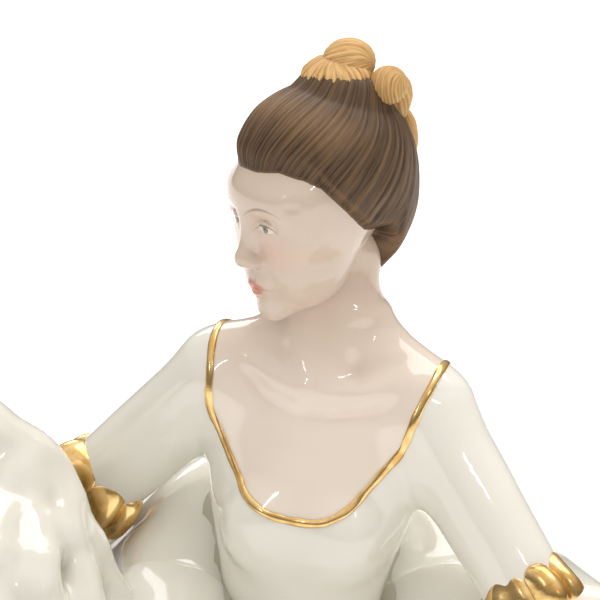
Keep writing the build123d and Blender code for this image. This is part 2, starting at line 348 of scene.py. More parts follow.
# Finishes, with the shared effects as node groups
def linked(tree, socket, value):
    if isinstance(value, bpy.types.NodeSocket):
        tree.links.new(value, socket)
    else:
        socket.default_value = value


def feed(tree, node, values):  # numbers, colours and links into a node's inputs
    for name, value in values.items():
        linked(tree, node.inputs[name], value)


def calc(tree, operation, *values, clamp=False):
    node = tree.nodes.new("ShaderNodeMath")
    node.operation = operation
    node.use_clamp = clamp
    for i, value in enumerate(values):
        linked(tree, node.inputs[i], value)
    return node.outputs[0]


def blendColour(tree, share, first, second):
    node = tree.nodes.new("ShaderNodeMix")
    node.data_type = "RGBA"
    feed(tree, node, {"Factor": share, 6: first, 7: second})
    return node.outputs[2]


def noise(tree, vector, scale, detail=2.0, rough=0.5):
    node = tree.nodes.new("ShaderNodeTexNoise")
    feed(tree, node, {"Vector": vector, "Scale": scale, "Detail": detail, "Roughness": rough})
    return node.outputs["Fac"]


def stretch(tree, vector, scale):
    node = tree.nodes.new("ShaderNodeVectorMath")
    node.operation = "MULTIPLY"
    feed(tree, node, {0: vector, 1: scale})
    return node.outputs[0]


def ranged(tree, value, low, high, outLow=0.0, outHigh=1.0):
    node = tree.nodes.new("ShaderNodeMapRange")
    feed(tree, node, {"Value": value, "From Min": low, "From Max": high, "To Min": outLow, "To Max": outHigh})
    return node.outputs["Result"]


def newGroup(name, inputs, outputs):
    group = bpy.data.node_groups.new(name, "ShaderNodeTree")
    for label, kind, value in inputs:
        socket = group.interface.new_socket(name=label, in_out="INPUT", socket_type="NodeSocket" + kind)
        socket.default_value = value
    for label, kind in outputs:
        group.interface.new_socket(name=label, in_out="OUTPUT", socket_type="NodeSocket" + kind)
    return group, group.nodes.new("NodeGroupInput").outputs, group.nodes.new("NodeGroupOutput")


def tint(red, green, blue):  # a colour as it is given, in 0 to 255
    def straight(c):
        c /= 255
        return c / 12.92 if c <= 0.04045 else ((c + 0.055) / 1.055) ** 2.4
    return (straight(red), straight(green), straight(blue), 1.0)


# Glaze pooled in the hollows turns them darker; the same darkening also paints the shade that falls in folds,
# creases and recesses
glazeGroup, given, result = newGroup(
    "glazePoolingAndShade",
    [("Vector", "Vector", (0, 0, 0)), ("Thin", "Color", (1, 1, 1, 1)), ("Pooled", "Color", (0, 0, 0, 1)),
     ("Recess", "Float", 0.0), ("Mottle", "Float", 60.0)],
    [("Color", "Color"), ("Roughness", "Float"), ("Height", "Float")],
)
cloud = noise(glazeGroup, given["Vector"], given["Mottle"], 3)
poolAndShade = ranged(glazeGroup, given["Recess"], 0.02, 0.75)
share = calc(glazeGroup, "ADD", poolAndShade, ranged(glazeGroup, cloud, 0.35, 0.8, 0, 0.3), clamp=True)
feed(glazeGroup, result, {
    "Color": blendColour(glazeGroup, share, given["Thin"], given["Pooled"]),
    "Roughness": ranged(glazeGroup, cloud, 0.3, 0.7, 0.05, 0.1),
    "Height": noise(glazeGroup, given["Vector"], 190.0, 1),
})

strandGroup, given, result = newGroup(
    "combedStrands",
    [("Flow", "Vector", (0, 0, 0)), ("Fineness", "Float", 1.0)],
    [("Tone", "Float"), ("Height", "Float")],
)
flow = stretch(strandGroup, given["Flow"], (1, 1, 0.12))
fine = noise(strandGroup, flow, calc(strandGroup, "MULTIPLY", given["Fineness"], 4.2), 2, 0.65)
broad = noise(strandGroup, flow, calc(strandGroup, "MULTIPLY", given["Fineness"], 0.9), 2)
fineShare = ranged(strandGroup, fine, 0.3, 0.7, 0, 0.6)
broadShare = ranged(strandGroup, broad, 0.35, 0.7, 0, 0.4)
feed(strandGroup, result, {"Tone": calc(strandGroup, "ADD", fineShare, broadShare), "Height": fine})

strokeGroup, given, result = newGroup(
    "enamelStroke",
    [("Vector", "Vector", (0, 0, 0)), ("Across", "Float", 0.0), ("Up", "Float", 0.0),
     ("Half Length", "Float", 1.0), ("Half Height", "Float", 0.2), ("Bow", "Float", 0.0),
     ("Slope", "Float", 0.0), ("Soft", "Float", 0.1)],
    [("Mask", "Float")],
)
parts = strokeGroup.nodes.new("ShaderNodeSeparateXYZ")
strokeGroup.links.new(given["Vector"], parts.inputs[0])
side = calc(strokeGroup, "SUBTRACT", calc(strokeGroup, "ABSOLUTE", parts.outputs["X"]), given["Across"])
share = calc(strokeGroup, "DIVIDE", side, given["Half Length"])
square = calc(strokeGroup, "MULTIPLY", share, share)
rise = calc(strokeGroup, "SUBTRACT", parts.outputs["Z"], given["Up"])
rise = calc(strokeGroup, "SUBTRACT", rise, calc(strokeGroup, "MULTIPLY", side, given["Slope"]))
rise = calc(strokeGroup, "ADD", rise, calc(strokeGroup, "MULTIPLY", square, given["Bow"]))
rise = calc(strokeGroup, "DIVIDE", rise, given["Half Height"])
away = calc(strokeGroup, "SQRT", calc(strokeGroup, "ADD", square, calc(strokeGroup, "MULTIPLY", rise, rise)))
edge = calc(strokeGroup, "MULTIPLY", calc(strokeGroup, "SUBTRACT", 1.0, away), given["Half Height"])
mask = calc(strokeGroup, "ADD", calc(strokeGroup, "DIVIDE", edge, given["Soft"]), 0.5, clamp=True)
mask = calc(strokeGroup, "MULTIPLY", mask, calc(strokeGroup, "LESS_THAN", parts.outputs["Y"], -4.0))
feed(strokeGroup, result, {"Mask": mask})

goldGroup, given, result = newGroup(
    "burnishing",
    [("Vector", "Vector", (0, 0, 0)), ("Bright", "Color", (1, 1, 1, 1)), ("Worn", "Color", (0, 0, 0, 1))],
    [("Color", "Color"), ("Roughness", "Float"), ("Height", "Float")],
)
# random patches of darker, rougher gold: wear, and painted dark reflections too
patch = noise(goldGroup, given["Vector"], 420.0, 3)
feed(goldGroup, result, {
    "Color": blendColour(goldGroup, ranged(goldGroup, patch, 0.4, 0.68), given["Bright"], given["Worn"]),
    "Roughness": ranged(goldGroup, patch, 0.3, 0.7, 0.13, 0.27),
    "Height": noise(goldGroup, given["Vector"], 900.0, 2),
})


def placeGroup(tree, group, **values):
    node = tree.nodes.new("ShaderNodeGroup")
    node.node_tree = group
    feed(tree, node, {name.replace("_", " "): value for name, value in values.items()})
    return node.outputs


def newMaterial(name):
    material = bpy.data.materials.new(name)
    material.use_nodes = True
    tree = material.node_tree
    shader = tree.nodes["Principled BSDF"]
    where = tree.nodes.new("ShaderNodeTexCoord").outputs["Object"]
    return material, tree, shader, where


def readNumbers(tree, name, kind="Fac"):
    node = tree.nodes.new("ShaderNodeAttribute")
    node.attribute_name = name
    return node.outputs[kind]


def relief(tree, shader, height, strength, distance):  # a fine relief from a height
    bump = tree.nodes.new("ShaderNodeBump")
    feed(tree, bump, {"Strength": strength, "Distance": distance, "Height": height})
    feed(tree, shader, {"Normal": bump.outputs["Normal"]})


# Looks: the thin glaze colour on raised parts, and the pooled colour for the hollows, darker from glaze
# pooling and also as painted shade
whiteLook = {"thin": tint(235, 232, 222), "pooledAndShaded": tint(190, 184, 168), "mottle": 38.0}
giltEdge = tint(214, 160, 82)
fleshLook = {"thin": tint(242, 231, 218), "pooledAndShaded": tint(204, 174, 150), "mottle": 45.0}
# the flesh glaze made darker for the face: painted shade, as the face is lit less than the chest
shadedFaceLook = {"thin": tint(214, 197, 181), "pooledAndShaded": tint(190, 158, 134), "mottle": 45.0}
glassyCoat = {"Coat Weight": 0.6, "Coat Roughness": 0.03, "Subsurface Weight": 0.12,
              "Subsurface Radius": (1.0, 0.8, 0.6), "Subsurface Scale": 0.0012}


def glazed(name, look):
    material, tree, shader, where = newMaterial(name)
    glaze = placeGroup(tree, glazeGroup, Vector=where, Thin=look["thin"], Pooled=look["pooledAndShaded"],
                       Recess=readNumbers(tree, "recess"), Mottle=look["mottle"])
    feed(tree, shader, {"Roughness": glaze["Roughness"], **glassyCoat})
    relief(tree, shader, glaze["Height"], 0.12, 0.0004)
    return material, tree, shader, where, glaze["Color"]


whiteGlaze, tree, shader, where, colour = glazed("whiteGlaze", whiteLook)
feed(tree, shader, {"Base Color": colour})

giltGlaze, tree, shader, where, colour = glazed("giltEdgedGlaze", whiteLook)
gilt = ranged(tree, readNumbers(tree, "gilt"), 0.4, 0.6)
feed(tree, shader, {"Base Color": blendColour(tree, gilt, colour, giltEdge), "Metallic": gilt})

fleshGlaze, tree, shader, where, colour = glazed("fleshGlaze", fleshLook)
height = tree.nodes.new("ShaderNodeSeparateXYZ")
feed(tree, height, {"Vector": where})
shadeUpNeck = ranged(tree, height.outputs["Z"], 0.110, 0.128)  # painted shade, darker from the chest up to the throat under the jaw
throatShade = blendColour(tree, shadeUpNeck, (1, 1, 1, 1), tint(226, 214, 206))
shadedFlesh = tree.nodes.new("ShaderNodeMix")
shadedFlesh.data_type, shadedFlesh.blend_type = "RGBA", "MULTIPLY"
feed(tree, shadedFlesh, {"Factor": 1.0, 6: colour, 7: throatShade})
feed(tree, shader, {"Base Color": shadedFlesh.outputs[2]})

# The painted face: each stroke is one placed group, from the widest wash to the finest line
faceStrokes = [  # across, up, half length, half height, bow, slope, soft, strength, colour
    (4.7, -3.2, 2.2, 1.7, 0.0, 0.0, 3.4, 0.3, tint(226, 160, 142)),
    (3.5, 1.0, 2.2, 1.1, 0.5, 0.0, 1.2, 0.22, tint(205, 165, 145)),
    (3.6, 3.0, 2.1, 0.17, 0.6, 0.04, 0.2, 0.72, tint(120, 92, 74)),
    (3.55, 1.34, 1.5, 0.08, 0.5, 0.0, 0.14, 0.5, tint(150, 112, 94)),
    (3.5, 0.02, 1.6, 0.58, 0.0, -0.02, 0.14, 0.7, tint(230, 224, 212)),
    (3.42, 0.1, 0.62, 0.62, 0.0, 0.0, 0.12, 0.92, tint(104, 88, 62)),
    (3.42, 0.1, 0.28, 0.28, 0.0, 0.0, 0.1, 0.95, tint(30, 22, 18)),
    (3.55, 0.66, 1.6, 0.13, 0.62, -0.03, 0.12, 0.94, tint(62, 44, 36)),
    (3.55, -0.6, 1.4, 0.06, -0.42, -0.02, 0.1, 0.5, tint(140, 104, 86)),
    (0.0, -7.95, 2.0, 0.4, 0.3, 0.0, 0.2, 0.85, tint(200, 108, 88)),
    (0.0, -8.95, 1.7, 0.46, -0.28, 0.0, 0.22, 0.8, tint(208, 120, 98)),
    (0.0, -8.42, 2.0, 0.07, 0.05, 0.0, 0.12, 0.8, tint(140, 62, 50)),
    (0.7, -5.85, 0.34, 0.13, 0.0, 0.0, 0.16, 0.5, tint(160, 96, 78)),
]
faceEnamel, tree, shader, where, colour = glazed("faceEnamel", shadedFaceLook)
local = tree.nodes.new("ShaderNodeMapping")
local.vector_type = "TEXTURE"
feed(tree, local, {"Vector": where, "Location": headPlace.translation * metre,
                   "Rotation": headPlace.to_euler(), "Scale": (metre, metre, metre)})
for across, up, length, height, bow, slope, soft, strength, paint in faceStrokes:
    stroke = placeGroup(tree, strokeGroup, Vector=local.outputs[0], Across=across, Up=up, Half_Length=length,
                        Half_Height=height, Bow=bow, Slope=slope, Soft=soft)
    colour = blendColour(tree, calc(tree, "MULTIPLY", stroke["Mask"], strength), colour, paint)
feed(tree, shader, {"Base Color": colour})


def hairPaint(name, dark, light):
    material, tree, shader, where = newMaterial(name)
    strands = placeGroup(tree, strandGroup, Flow=readNumbers(tree, "flow", "Vector"))
    # painted shade and highlight: darker in the grooves, lighter on the raised locks, with the painted sheen
    # band added on top
    hollow = ranged(tree, readNumbers(tree, "recess"), -0.5, 0.6, 0.25, -0.35)
    tone = calc(tree, "ADD", calc(tree, "MULTIPLY", strands["Tone"], 0.8), hollow)
    tone = calc(tree, "ADD", tone, calc(tree, "MULTIPLY", readNumbers(tree, "paintedSheen"), 0.45), clamp=True)
    feed(tree, shader, {"Base Color": blendColour(tree, tone, dark, light), "Roughness": 0.5,
                        "Coat Weight": 0.05, "Coat Roughness": 0.3, "Specular IOR Level": 0.3})
    relief(tree, shader, strands["Height"], 0.5, 0.0003)
    return material


brownHair = hairPaint("brownHair", tint(44, 28, 14), tint(128, 98, 68))
blondHair = hairPaint("blondHair", tint(172, 120, 58), tint(252, 214, 150))

burnishedGold, tree, shader, where = newMaterial("burnishedGold")
leaf = placeGroup(tree, goldGroup, Vector=where, Bright=tint(238, 204, 142), Worn=tint(206, 164, 96))
feed(tree, shader, {"Base Color": leaf["Color"], "Roughness": leaf["Roughness"], "Metallic": 1.0})
relief(tree, shader, leaf["Height"], 0.12, 0.0002)

bisque, tree, shader, where = newMaterial("bisque")
grain = noise(tree, where, 700.0, 4, 0.65)
grit = blendColour(tree, ranged(tree, grain, 0.3, 0.75), tint(226, 220, 206), tint(204, 195, 178))
feed(tree, shader, {"Base Color": grit, "Roughness": ranged(tree, grain, 0.3, 0.7, 0.6, 0.85)})
relief(tree, shader, grain, 0.25, 0.0003)
print("finishes mixed")


# The figure: chest, neck and sleeves are one skin, then parted along the neckline and the armholes
figure = {
    "rings": [  # height, half width, half depth, how far forward
        (-6, 10.2, 8.2, 0), (0, 8.9, 6.9, 0), (8, 9.5, 7.4, 0.3), (15, 11, 8.4, 1), (20, 12.8, 9, 1.2),
        (26, 13.6, 8.4, 0.8), (32, 15.0, 7.3, 0.0), (37, 16.2, 6.2, -0.5), (40.5, 15.2, 5.2, -0.8),
        (43.2, 11.0, 4.6, -0.9), (45.2, 6.4, 4.0, -0.9), (47, 4.6, 3.4, -0.9)],
    "neck": [(-1.0, 1.2, 108), (-1.2, 1.0, 114), (-1.1, 1.0, 119), (-0.6, 1.0, 126), (0.8, 0.8, 133)],
    "neckRadii": [6.4, 6.0, 5.5, 5.2, 5.6],
    "rightArm": [onTorso(-15.0, 1, 35.3), (-30.8, 12.0, 96.6)],
    "leftArm": [onTorso(13.4, 1, 34.8), (26.6, -12.0, 87.5)],
    "armRadii": [6.3, 5.5],
    "grain": 0.42,
    "wall": 1.4,
    "collar": 46.5,  # height on the torso where the neck begins
}
chestClay = setIn(torsoPlace, [
    {"kind": "rings", "place": Matrix(), "rings": figure["rings"], "blend": 1.0, "carve": False},
    *balls((-5.2, -6.2, 18.2), (5.2, 4.0, 5.2), (0, 0, 12), blend=3.4),
    limb([(-7.0, 0.5, 10), (-8.4, 0.5, 18), (-9.7, 0.3, 27), (-10.8, 0, 33)], [5.0, 5.3, 5.3, 5.0], 3.0),
    *limbs([(-2.5, 1.5, 46.5), (-8, 1.2, 42.4), (-12, 1.0, 39.6)], [3.6, 2.8, 2.4], 4.0),
    *limbs([(-1.9, -5.6, 37.6), (-6, -5.0, 38.6), (-11.5, -3.0, 40.4)], [0.7, 0.65, 0.6], 3.2),
])
neckClay = [limb(figure["neck"], figure["neckRadii"], 4.5),
            limb([(4.6, -1.2, 131), (1.6, -4.0, 121), onTorso(0.8, -5.0, 38.4)], [1.4, 1.3, 0.8], 3.4),
            limb([(-3.6, -1.2, 128), (-3.4, -3.4, 121), onTorso(-1.4, -5.0, 38.4)], [1.2, 1.0, 0.7], 3.4)]
armClay = [limb(figure[arm], figure["armRadii"], 3.4) for arm in ("rightArm", "leftArm")]
figureSkin = sculpt("figureSkin", chestClay + neckClay + armClay, figure["grain"],
                    lambda p: 0.06 * ripples(p, 10.0, 3))
print("figure sculpted", len(figureSkin.data.vertices))

neckline = {  # half of the neckline on the torso, front pit to back pit: across, forward, height
    "line": [(0, -12.0, 21.4), (3.6, -11.8, 22.0), (7.4, -10.4, 24.6), (10.4, -8.4, 28.2), (12.2, -6.6, 32.0),
             (13.2, -5.0, 36.0), (13.8, -2.6, 39.4), (13.8, 0.4, 40.6), (13.2, 3.0, 39.0), (11.4, 4.8, 35.4),
             (8.0, 5.8, 32.6), (4.0, 6.4, 31.3), (0, 6.6, 31)],
    "halfWidth": 0.54,
    "rise": 0.24,
    "ease": 2.2,  # her right side runs a little further out
    "middle": 0.2,  # the front of the torso ends here and the back begins
    "easing": 14,
}


def bvhOf(obj):
    faces = [tuple(f.vertices) for f in obj.data.polygons]
    return BVHTree.FromPolygons([tuple(v.co) for v in obj.data.vertices], faces)


figureTree = bvhOf(figureSkin)
half = curveThrough(neckline["line"], np.linspace(0, 1, 120))
fuller = smoothStep(20, 27, half[:, 2]) * (1 - 0.4 * smoothStep(31, 38, half[:, 2]))
other = half * (-1, 1, 1) - np.outer(neckline["ease"] * fuller, (1, 0, 0))
loop = moved(torsoPlace, np.vstack([half, other[-2:0:-1]]))
for _ in range(neckline["easing"]):
    loop = rounded(np.array([figureTree.find_nearest(Vector(p))[0] for p in loop]))
loopUp = np.array([figureTree.find_nearest(Vector(p))[1] for p in loop])
for _ in range(4):
    loopUp = rounded(loopUp)
loopUp /= np.linalg.norm(loopUp, axis=1)[:, None]

# Which part each face of the figure belongs to
centres = np.array([tuple(f.center) for f in figureSkin.data.polygons])
localCentres = moved(torsoPlace.inverted(), centres)
localLoop = moved(torsoPlace.inverted(), loop)
backSide = localCentres[:, 1] > neckline["middle"]


def openWidth(points, faces):  # how wide the neckline is at each face's height
    order = np.argsort(points[:, 2])
    return np.interp(faces[:, 2], points[order, 2], np.abs(points[order, 0]), left=0)


widths = np.zeros(len(centres))
for behind in (False, True):
    for sign in (-1, 1):
        near = ((localLoop[:, 1] > neckline["middle"]) == behind) & (localLoop[:, 0] * sign > -0.3)
        mine = (backSide == behind) & (localCentres[:, 0] * sign >= 0)
        widths[mine] = openWidth(localLoop[near], localCentres[mine])
bare = np.abs(localCentres[:, 0]) < widths
chestNear, rightNear, leftNear = (clayField(clay, centres) for clay in (chestClay, armClay[:1], armClay[1:]))
figureParts = [
    ("bodicePiece", whiteGlaze, "white_glaze", "bodice"),
    ("rightSleevePiece", whiteGlaze, "white_glaze", "right_sleeve"),
    ("leftSleevePiece", whiteGlaze, "white_glaze", "left_sleeve"),
    ("shoulderSkin", fleshGlaze, "flesh_glaze", "shoulder_yoke"),
    ("neckSkin", fleshGlaze, "flesh_glaze", "neck"),
]
bodicePart, rightPart, leftPart, shoulderPart, neckPart = range(len(figureParts))
part = np.full(len(centres), bodicePart)
part[(rightNear < chestNear) & (localCentres[:, 0] < 0)] = rightPart
part[(leftNear < chestNear) & (localCentres[:, 0] > 0)] = leftPart
part[bare] = shoulderPart
part[bare & (localCentres[:, 2] > figure["collar"])] = neckPart
meets = np.zeros(len(figureSkin.data.loops), np.int64)
figureSkin.data.loops.foreach_get("edge_index", meets)
faceSizes = np.zeros(len(part), np.int64)
figureSkin.data.polygons.foreach_get("loop_total", faceSizes)
order = np.argsort(meets, kind="stable")
pairs = np.repeat(np.arange(len(part)), faceSizes)[order].reshape(-1, 2)
for _ in range(6):  # a face that stands out among its neighbours joins them, so the seams run clean
    votes = np.zeros((len(part), len(figureParts)))
    np.add.at(votes, (pairs[:, 0], part[pairs[:, 1]]), 1)
    np.add.at(votes, (pairs[:, 1], part[pairs[:, 0]]), 1)
    own = votes[np.arange(len(part)), part]
    part = np.where(own < 2, votes.argmax(1), part)
for index, (name, paint, slot, node) in enumerate(figureParts):
    piece = figureSkin.copy()
    piece.data = figureSkin.data.copy()
    piece.name = piece.data.name = name
    bpy.context.scene.collection.objects.link(piece)
    noteRecess(piece, 40, 1.5)
    pick(piece)
    bpy.ops.object.mode_set(mode="EDIT")
    bpy.ops.mesh.select_mode(type="FACE")
    bpy.ops.object.mode_set(mode="OBJECT")
    piece.data.polygons.foreach_set("select", part != index)
    bpy.ops.object.mode_set(mode="EDIT")
    bpy.ops.mesh.delete(type="FACE")
    bpy.ops.object.mode_set(mode="OBJECT")
    shell = piece.modifiers.new("wall", "SOLIDIFY")
    shell.thickness = figure["wall"]
    shell.offset = -1
    applyAll(piece)
    finishPiece(piece, paint, slot, node)
bpy.data.objects.remove(figureSkin)
print("figure parted")


def braidForm(u, v):
    at = u * len(loop)
    i = np.floor(at).astype(int) % len(loop)
    j, t = (i + 1) % len(loop), (at - np.floor(at))[:, None]
    centre, up, along = (table[i] * (1 - t) + table[j] * t
                         for table in (loop, loopUp, np.roll(loop, -1, 0) - np.roll(loop, 1, 0)))
    along /= np.linalg.norm(along, axis=1)[:, None]
    side = np.cross(along, up)
    lap, turn = 2 * math.pi * u, 2 * math.pi * v
    width = neckline["halfWidth"] * (1 + 0.09 * np.sin(lap * 23) * np.sin(lap * 9 + 1))
    rise = neckline["rise"] * (1 + 0.15 * np.sin(lap * 19))
    return centre + side * (width * np.cos(turn))[:, None] + up * (0.08 + rise * np.sin(turn))[:, None]


braidPiece = sheet("necklineBraidPiece", 480, 14, braidForm)
finishPiece(braidPiece, burnishedGold, "burnished_gold", "neckline_braid")
print("braid laid")

# Head
headGrain = 0.2
headClay = setIn(headPlace, [
    ball((0, 0.9, 4.4), (9.3, 11.2, 9.9)),
    ball((0, -3.1, -1.6), (7.7, 7.9, 9.8), blend=4.5),
    ball((0, -4.4, -8.0), (5.5, 5.9, 5.0), blend=3.5),
    ball((0, -8.7, -11.7), (2.1, 2.1, 2.0), blend=2.4),
    *balls((-4.9, -7.0, -2.8), (2.6, 2.5, 2.2), blend=2.6),
    *balls((-3.9, -7.3, -6.6), (2.7, 2.6, 2.9), blend=2.4),
    ball((0, -9.0, 3.3), (5.2, 1.9, 1.6), blend=3.6),
    *balls((-6.3, -5.2, 1.6), (2.4, 3.4, 4.0), blend=3.4),
    *balls((-3.45, -12.6, 0.5), (2.3, 2.2, 1.5), blend=1.4, carve=True),
    limb([(0, -10.4, 2.2), (0, -11.1, -0.6), (0, -12.3, -3.7)], [0.7, 0.72, 0.9], 1.7),
    ball((0, -12.35, -4.35), (1.15, 1.15, 1.0), blend=1.0),
    *balls((-1.15, -11.3, -4.9), (0.75, 1.05, 0.7), blend=0.8),
    *balls((-3.45, -8.35, 0.0), (2.25, 2.25, 2.25), blend=0.35),
    *limbs([(-1.75, -9.95, -0.1), (-2.6, -10.5, 0.62), (-3.6, -10.62, 0.86), (-4.6, -10.2, 0.55),
            (-5.3, -9.4, -0.1)], [0.2, 0.3, 0.32, 0.3, 0.2], 0.45),
    *limbs([(-1.8, -9.95, -0.25), (-3.5, -10.3, -0.9), (-5.2, -9.3, -0.3)], [0.15, 0.22, 0.15], 0.5),
    ball((0, -9.9, -8.0), (2.7, 1.5, 1.7), blend=1.5),
    limb([(-2.1, -10.3, -8.3), (-0.6, -11.3, -7.9), (0, -11.3, -8.0), (0.6, -11.3, -7.9), (2.1, -10.3, -8.3)],
         [0.22, 0.38, 0.36, 0.38, 0.22], 0.5),
    limb([(-1.6, -10.3, -8.7), (0, -11.1, -8.95), (1.6, -10.3, -8.7)], [0.28, 0.52, 0.28], 0.4),
])
headSkin = sculpt("headSkin", headClay, headGrain)
noteRecess(headSkin, 25, 1.3)
headTree = bvhOf(headSkin)
print("head sculpted", len(headSkin.data.vertices))

# Hair, combed up from the hairline to the topknot
hair = {
    "centre": (0, 0.9, 3.6),
    "crown": (0, 6.4, 15.6),
    "line": [  # degrees from the front, height on the head
        (0, 7.5), (10, 7.4), (30, 7.5), (50, 6.5), (62, 5.2), (72, 2.9), (83, 0.5), (92, -1.2), (100, -2.3),
        (112, -2.9), (122, -3.0), (130, -4.6), (134, -7.6), (138, -11.0), (146, -14.0), (180, -14.8)],
    "thick": 1.15,
    "fuller": 0.5,  # added away from the hairline
    "mound": 1.9,  # added under the topknot
    "tuck": 1.3,  # how far it dips under the skin past the hairline
    "chignon": 2.3,  # added behind the ear
    "sweep": 0.72,
    "locks": 17,
    "lockDepth": 0.08,
    "strands": (53, 79),
    "strandDepth": 0.04,
    "segments": 420,
    "rings": 200,
}
hairPlace = (headPlace @ Matrix.Translation(hair["centre"])
             @ leaning(Vector(hair["crown"]) - Vector(hair["centre"])))
hairFrom = hairPlace.translation
hairFlow = {}


def hairForm(d):
    turn = np.arctan2(d[:, 1], d[:, 0])
    fall = np.arccos(np.clip(d[:, 2], -1, 1))
    swept = turn - hair["sweep"] * smoothStep(0.25, 2.0, fall) * np.cos(turn)  # towards the face as it falls
    ways = np.stack([np.cos(swept) * np.sin(fall), np.sin(swept) * np.sin(fall), np.cos(fall)], axis=1)
    world = ways @ np.array(hairPlace.to_3x3()).T
    reach = np.array([(headTree.ray_cast(hairFrom, Vector(w))[3] or 9.0) for w in world])
    points = np.array(hairFrom) + world * reach[:, None]
    local = moved(headPlace.inverted(), points)
    around = np.degrees(np.abs(np.arctan2(local[:, 0], -local[:, 1])))
    line = np.array(hair["line"], float)
    above = local[:, 2] - np.interp(around, line[:, 0], line[:, 1])
    puff = hair["thick"] * smoothStep(-0.35, 2.2, above) + hair["fuller"] * smoothStep(1.0, 6.0, above)
    puff += hair["mound"] * smoothStep(0.62, 0.3, fall)
    puff += -hair["tuck"] * smoothStep(0.0, -0.7, above)
    behind = smoothStep(100, 140, around) * smoothStep(-0.5, 2, above)
    puff += hair["chignon"] * np.exp(-(((local[:, 2] + 4.5) / 5.0) ** 2)) * behind
    locks = np.abs(np.sin(turn * hair["locks"] + 1.2 * np.sin(1.6 * fall + turn * 3)))
    comb = np.sin(turn * hair["strands"][0] + 1.2 * np.sin(1.5 * fall + turn * 5))
    comb += 0.7 * np.sin(turn * hair["strands"][1] + np.sin(1.3 * fall - turn * 4))
    puff += smoothStep(-0.1, 0.8, above) * (hair["lockDepth"] * (locks - 0.6) + hair["strandDepth"] * comb)
    hairFlow["flow"] = np.stack([np.cos(turn) * 12, np.sin(turn) * 12, fall * 5], axis=1)
    # painted highlight: a lighter band round the hair, on one side only
    sheenBand = np.exp(-(((fall - 1.02 - 0.12 * np.sin(turn)) / 0.24) ** 2))
    hairFlow["paintedSheen"] = sheenBand * smoothStep(0.35, -0.3, np.sin(turn))
    return np.array(hairFrom) + world * (reach + puff)[:, None]


hairPiece = globe("hairCapPiece", hair["segments"], hair["rings"], hairForm)
keepFlow(hairPiece, hairFlow["flow"])
keepNumbers(hairPiece, "paintedSheen", hairFlow["paintedSheen"])
noteRecess(hairPiece, 6, 0.12)
finishPiece(hairPiece, brownHair, "brown_hair", "hair_cap", sharp=60)
finishPiece(headSkin, faceEnamel, "flesh_glaze", "head", sharp=80)
print("hair combed")

# Topknot: rolled locks, strands running from tip to tip
locks = {  # node, centre, radii, turn, swirl of the strands, number of strands
    "frontRollPiece": ("front_roll", (-0.2, 4.9, 16.0), (4.6, 4.7, 2.7), (4, 0, 90), 0.0, 30),
    "crownCurlPiece": ("crown_curl", (-0.1, 6.9, 17.3), (3.1, 3.5, 3.5), (0, 90, 30), 0.35, 24),
    "leftCurlPiece": ("left_curl", (4.6, 9.6, 14.4), (2.5, 2.5, 2.6), (0, 60, 40), 1.6, 18),
    "rightCurlPiece": ("right_curl", (-4.2, 9.2, 14.4), (2.6, 2.5, 2.6), (0, -60, -40), -1.6, 18),
    "backCurlPiece": ("back_curl", (0.6, 12.4, 10.8), (2.8, 2.2, 3.6), (-28, 0, 0), 1.0, 18),
    "napeCurlPiece": ("nape_curl", (0.6, 13.6, 5.6), (2.0, 1.5, 3.6), (-6, 0, 0), 0.8, 14),
}
lockFlow = {}
for name, (node, centre, radii, turn, swirl, strands) in locks.items():
    place = headPlace @ placed(centre, turn)

    def lockForm(d):
        around = np.arctan2(d[:, 1], d[:, 0])
        fall = np.arccos(np.clip(d[:, 2], -1, 1))
        spin = around + swirl * np.cos(fall)
        ridge = np.abs(np.sin(spin * strands / 4 + 0.8 * np.sin(3 * fall))) - 0.5
        comb = np.sin(spin * strands + 1.2 * np.sin(2 * fall + spin * 2))
        size = 1 + (0.03 * ridge + 0.016 * comb) * np.sin(fall)
        lockFlow["flow"] = np.stack([np.cos(spin) * 8, np.sin(spin) * 8, fall * 4], axis=1)
        return moved(place, d * np.array(radii) * size[:, None])

    piece = globe(name, 150, 80, lockForm)
    keepFlow(piece, lockFlow["flow"])
    noteRecess(piece, 8, 0.16)
    finishPiece(piece, blondHair, "blond_hair", node, sharp=60)
print("topknot pinned")


# Cuffs: lobed ruffles round the sleeve ends
cuffs = {
    "lobes": 6, "radius": 5.3, "bulge": 1.7, "flare": 0.8, "length": 6.4, "ruffle": 2.0, "wall": 0.9,
    "bulb": 2.6,  # where the blown lobes sit
    "brim": 0.62,  # share of the section that is the outside
}


